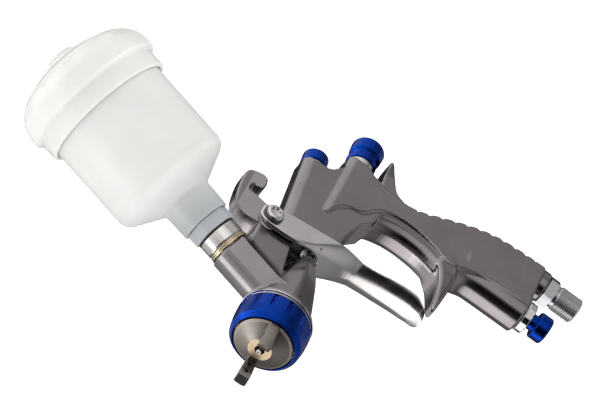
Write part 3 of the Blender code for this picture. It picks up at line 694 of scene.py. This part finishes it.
def make_controls():
    fan = {"foot": FAN_FOOT, "axis": FAN_AXIS}
    tube = {"foot": (TUBE_X, 0, 0), "axis": (0, 0, 1)}
    inlet = {"foot": (INLET_X, 0, 0), "axis": (0, 0, 1)}
    stand_for(turned("fan_gland", [(44.1, 3.1), (44.1, 6.5), (46.6, 6.6), (47.4, 6.0), (47.4, 3.1)],
                     closed=True,
                     **fan), "fan_valve_gland")
    stand_for(turned("fan_cap", [(48.4, 0), (48.4, 3.1), (47.8, 3.1), (47.8, 5.6), (48.6, 6.5), (54.4, 6.5),
                                 (55.6, 5.4), (55.6, 0)], shape=fluted(24, 0.2, 49, 54.2), **fan), "fan_knob")
    stand_for(turned("fluid_lock", [(141.9, 4.6), (141.9, 7.3), (147.0, 7.3), (147.6, 6.9), (147.6, 4.6)],
                     closed=True,
                     ease=0.4), "fluid_lock_ring")
    stand_for(turned("fluid_cap", [(150.4, 0), (150.4, 3.7), (128, 3.7), (128, 4.3), (148.0, 4.3),
                                   (148.0, 7.5), (150.6, 7.8), (152.4, 6.2), (154.2, 6.2), (155.8, 8.1),
                                   (161.8, 8.5), (163.2, 7.4), (163.2, 0)],
                                   shape=fluted(24, 0.2, 156, 161.6), ease=0.5), "fluid_knob")
    stand_for(turned("air_plug", [(-108.0, 2.9), (-108.0, 7.4), (-107.4, 8.2), (-104.2, 8.2), (-103.3, 7.8),
                                  (-103.3, 7.3), (-92, 7.3), (-92, 2.9)], closed=True,
                     shape=hexagonal(15.6, -107.4, -104.2), **tube), "air_adjust_body")
    stand_for(turned("air_cap_blue", [(-118.4, 0), (-118.4, 6.2), (-117.6, 7.0), (-112.0, 7.0), (-111.4, 6.6),
                                      (-111.4, 4.2), (-108.4, 4.2), (-108.4, 2.9), (-112.4, 2.9),
                                      (-112.4, 0)],
                     shape=fluted(20, 0.12, -117, -112.4), **tube), "air_adjust_knob")
    thread = [(-127.8, 3.8), (-127.8, 5.6)]
    crests = 10
    pitch = 1.18
    for k in range(crests):
        foot = -127.3 + k * pitch
        thread += [(foot, 6.0), (foot + 0.25 * pitch, 6.58), (foot + 0.5 * pitch, 6.58),
                   (foot + 0.75 * pitch, 6.0)]
    thread += [(-115.0, 5.8), (-113.4, 5.8), (-113.4, 8.0), (-108.3, 8.0), (-108.3, 5.1), (-94, 5.1),
               (-94, 3.8)]
    stand_for(turned("inlet_nipple", thread, closed=True, ease=0.12, shape=hexagonal(14.0, -113.4, -108.3),
                     **inlet), "air_inlet_nipple", finish="steel")
    # Painted shade: the packing nut gets the dark spring-steel finish to stand in for the shade in the gap
    # between the trigger arms and the neck.
    nut = turned("packing_nut", [(56.4, 1.45), (56.4, 3.3), (64.4, 3.3), (64.4, 4.6), (69.4, 4.6),
                                 (69.4, 1.45)],
                 closed=True, sides=48, shape=hexagonal(8.0, 64.4, 69.4))
    stand_for(nut, "needle_packing_nut", finish="dark_steel")


def make_pivot():
    where = {"foot": PIVOT, "axis": (0, 1, 0), "sides": 64}
    stand_for(turned("pivot_stud", [(-5, 0), (-5, 1.7), (-12.2, 1.7), (-12.2, 3.2), (12.9, 3.2), (12.9, 4.4),
                                    (14.6, 4.4), (15.1, 3.8), (15.1, 0)], **where), "trigger_pivot_stud",
              finish="chrome")
    stand_for(turned("near_washer", [(-12.9, 3.5), (-12.9, 5.0), (-12.3, 5.0), (-12.3, 3.5)], closed=True,
                     ease=0.1, **where), "trigger_washer_near")
    stand_for(turned("far_washer", [(12.2, 3.5), (12.2, 5.0), (12.7, 5.0), (12.7, 3.5)], closed=True,
                     ease=0.1,
                     **where), "trigger_washer_far")
    stand_for(turned("screw_head", [(-14.2, 0), (-14.2, 2.2), (-15.2, 2.5), (-15.2, 3.5), (-14.6, 4.3),
                                    (-13.2, 4.4), (-13.2, 1.4), (-6, 1.4), (-6, 0)], ease=0.2, **where),
                                    "trigger_screw")


# Cup -------------------------------------------------------------------------------------------------------

def make_cup():
    cup = {"foot": CUP_FOOT, "axis": CUP_AXIS}
    stand_for(turned("inlet_collar", [(21, 3.4), (21, 6.9), (38.9, 6.9), (38.9, 9.4), (39.6, 9.9),
                                      (45.7, 9.9), (45.7, 6.4), (33, 6.4), (33, 3.4)], closed=True,
                                      ease=0.35, **cup),
              "fluid_inlet_fitting")
    stand_for(turned("thin_ring_lower", [(36.8, 7.2), (36.8, 10.1), (37.6, 10.1), (37.6, 7.2)], closed=True,
                     ease=0.15, **cup), "inlet_ring_lower")
    stand_for(turned("thin_ring_upper", [(37.85, 7.2), (37.85, 9.9), (38.6, 9.9), (38.6, 7.2)], closed=True,
                     ease=0.15, **cup), "inlet_ring_upper")
    stand_for(turned("seal_under_cup", [(45.9, 6.4), (45.9, 10.0), (46.6, 10.0), (46.6, 6.4)], closed=True,
                     ease=0.1, **cup), "cup_gasket")
    stand_for(turned("cup_hexagon", [(35.8, 4.0), (35.8, 6.0), (46.8, 6.0), (46.8, 11.4), (53.0, 11.4),
                                     (53.0, 9.6), (63.8, 9.6), (63.8, 4.0)], closed=True, ease=0.35,
                     shape=hexagonal(20.4, 46.8, 53.0), **cup), "cup_adapter")
    stand_for(turned("strainer", [(85.2, 0), (85.2, 6.4), (64.8, 6.6), (64.8, 7.6), (86, 7.2), (86, 0)],
                     **cup),
              "cup_strainer")
    stand_for(turned("cup_shell", [(53.3, 9.9), (53.3, 12.2), (67.4, 12.6), (75.6, 28.2), (77.6, 30.0),
                                   (80, 30.4), (139.5, 30.6), (139.5, 29.0), (79.5, 28.8), (78.1, 27.8),
                                   (70, 9.9)], closed=True,
                     ease=1.2, sides=160, **cup), "cup")

    def scallops(angle, along, reach):
        wave = 0.5 - 0.5 * np.cos(12 * angle)
        share = np.clip((along - 131.5) / 3.0, 0, 1) * np.clip((reach - 22) / 10, 0, 1) * (reach > 31.4)
        return reach - 0.7 * wave * share

    stand_for(turned("lid_shell", [(121.6, 31.2), (121.6, 32.4), (122.4, 33.2), (130.6, 33.5), (131.6, 34.2),
                                   (132.4, 36.1), (138, 35.9), (141, 35.1), (145.6, 32.0), (149, 27.6),
                                   (151.8, 20.4), (153.3, 11.4), (155.2, 10.2), (155.4, 9.6), (155.4, 4.0),
                                   (151.6, 4.0), (150.6, 11), (148.6, 20), (145.6, 27), (142.4, 31.2)],
                                   closed=True, ease=0.8,
                     sides=192, shape=scallops, **cup), "cup_lid")
    stand_for(turned("vent_button", [(152.3, 0), (152.3, 3.6), (155.7, 3.6), (155.7, 7.6), (157.2, 7.2),
                                     (158.2, 5.6), (158.2, 0)], ease=0.4, **cup), "lid_vent_cap")


# Painted shade: the air valve gland and sleeve get the dark steel finish in place of their own, for the shade
# in the gap behind the trigger.
GAP_SHADE_FINISH = {"air_valve_gland": "dark_steel", "air_valve_sleeve": "dark_steel"}


def dress_cad_nodes():
    """The inner pieces keep their CAD shape and get a full material."""
    for name, node in frame["nodes"].items():
        if not node.hide_render:
            node.data.materials.clear()
            node.data.materials.append(FINISH[GAP_SHADE_FINISH.get(name, SLOT_FINISH[SLOT_OF[name]])])


# Studio ----------------------------------------------------------------------------------------------------

VIEW_FORWARD = Vector((0.758539, 0.644663, -0.095015))
VIEW_RIGHT = Vector((0.318455, -0.493955, -0.809070))
CAMERA_MM = (-1170.67, -1080.83, 175.99)


def make_camera():
    data = bpy.data.cameras.new("camera")
    data.lens = 213.64
    data.sensor_width = 36
    data.clip_end = 50
    camera = bpy.data.objects.new("camera", data)
    bpy.context.scene.collection.objects.link(camera)
    up = VIEW_RIGHT.cross(VIEW_FORWARD).normalized()
    right = VIEW_FORWARD.cross(up)
    turn = Matrix((right, up, -VIEW_FORWARD)).transposed()
    camera.matrix_world = Matrix.Translation(Vector(to_frame(CAMERA_MM))) @ turn.to_4x4()
    bpy.context.scene.camera = camera


def make_world():
    """Studio surroundings: the camera sees white, while the metal sees soft greys with a dark side."""
    world = bpy.data.worlds.new("studio")
    bpy.context.scene.world = world
    world.use_nodes = True
    tree = world.node_tree
    tree.nodes.clear()
    link = tree.links.new
    coordinates = tree.nodes.new("ShaderNodeTexCoord")

    def facing(direction, low, high, start, end):
        """Grey from low to high as the direction turns from start to end (as cosines) towards a direction."""
        dot = tree.nodes.new("ShaderNodeVectorMath")
        dot.operation = "DOT_PRODUCT"
        dot.inputs[1].default_value = Vector(direction).normalized()
        link(coordinates.outputs["Generated"], dot.inputs[0])
        node = tree.nodes.new("ShaderNodeMapRange")
        node.interpolation_type = "SMOOTHSTEP"
        node.inputs["From Min"].default_value = start
        node.inputs["From Max"].default_value = end
        node.inputs["To Min"].default_value = low
        node.inputs["To Max"].default_value = high
        link(dot.outputs["Value"], node.inputs["Value"])
        return node.outputs["Result"]

    def math_node(operation, a, b):
        node = tree.nodes.new("ShaderNodeMath")
        node.operation = operation
        link(a, node.inputs[0])
        if isinstance(b, float):
            node.inputs[1].default_value = b
        else:
            link(b, node.inputs[1])
        return node.outputs["Value"]

    light = facing((0, 0, 1), 0.16, 1.10, -0.30, 0.9)
    light = math_node("ADD", light, facing((0.76, -0.64, 0.05), 0.0, 0.28, 0.84, 0.99))
    light = math_node("ADD", light, facing((-0.20, -0.97, 0.0), 0.0, 0.50, 0.78, 0.97))
    light = math_node("ADD", light, facing((-0.76, 0.63, -0.14), 0.0, 1.6, 0.88, 0.985))
    light = math_node("MULTIPLY", light, facing((-0.96, -0.26, -0.06), 1.0, 0.10, 0.80, 0.94))
    light = math_node("MULTIPLY", light, facing((-0.80, -0.60, -0.08), 1.0, 0.16, 0.90, 0.99))
    light = math_node("MULTIPLY", light, facing((0.76, 0.64, 0.1), 1.0, 0.06, 0.78, 0.95))
    light = math_node("ADD", light, facing((0.1, 0.0, -1), 0.0, 0.30, 0.45, 0.9))
    background = tree.nodes.new("ShaderNodeBackground")
    link(light, background.inputs["Strength"])
    background.inputs["Color"].default_value = (1.0, 0.98, 0.97, 1)
    white = tree.nodes.new("ShaderNodeBackground")
    white.inputs["Color"].default_value = (1, 1, 1, 1)
    white.inputs["Strength"].default_value = 1.05
    path = tree.nodes.new("ShaderNodeLightPath")
    mix = tree.nodes.new("ShaderNodeMixShader")
    output = tree.nodes.new("ShaderNodeOutputWorld")
    link(path.outputs["Is Camera Ray"], mix.inputs["Fac"])
    link(background.outputs["Background"], mix.inputs[1])
    link(white.outputs["Background"], mix.inputs[2])
    link(mix.outputs["Shader"], output.inputs["Surface"])


def area_light(name, place, target, size, power):
    data = bpy.data.lights.new(name, "AREA")
    data.shape = "RECTANGLE"
    data.size, data.size_y = size
    data.energy = power
    light = bpy.data.objects.new(name, data)
    bpy.context.scene.collection.objects.link(light)
    light.location = place
    light.rotation_mode = "QUATERNION"
    light.rotation_quaternion = (Vector(target) - Vector(place)).to_track_quat("-Z", "Y")


def make_floor():
    """A wide pale floor well below the gun, bright enough to melt into the white surroundings."""
    build = bmesh.new()
    bmesh.ops.create_grid(build, x_segments=8, y_segments=8, size=30)
    mesh = bpy.data.meshes.new("floor")
    build.to_mesh(mesh)
    build.free()
    floor = bpy.data.objects.new("floor", mesh)
    bpy.context.scene.collection.objects.link(floor)
    floor.location = (0, 0, CAD_BOX[0][2] - 0.25)
    made, tree, shader = new_material("pale_floor")
    tree.links.new(ramp(tree, noise(tree, 3), 0.90, 0.94), shader.inputs["Base Color"])
    shader.inputs["Roughness"].default_value = 0.9
    shader.inputs["Emission Color"].default_value = (1, 1, 1, 1)
    shader.inputs["Emission Strength"].default_value = 0.6
    mesh.materials.append(made)
    floor.visible_glossy = False


def make_studio():
    bpy.context.scene.view_settings.view_transform = "Standard"
    make_camera()
    make_world()
    make_floor()
    area_light("top_softbox", (-0.1, 0.1, 1.3), (-0.07, 0, 0.13), (0.9, 0.9), 4)
    area_light("front_softbox", (-1.0, 0.5, 0.5), (-0.1, 0, 0.13), (0.5, 0.8), 2)


make_body()
make_trigger()
make_head()
make_controls()
make_pivot()
make_cup()
dress_cad_nodes()
make_studio()
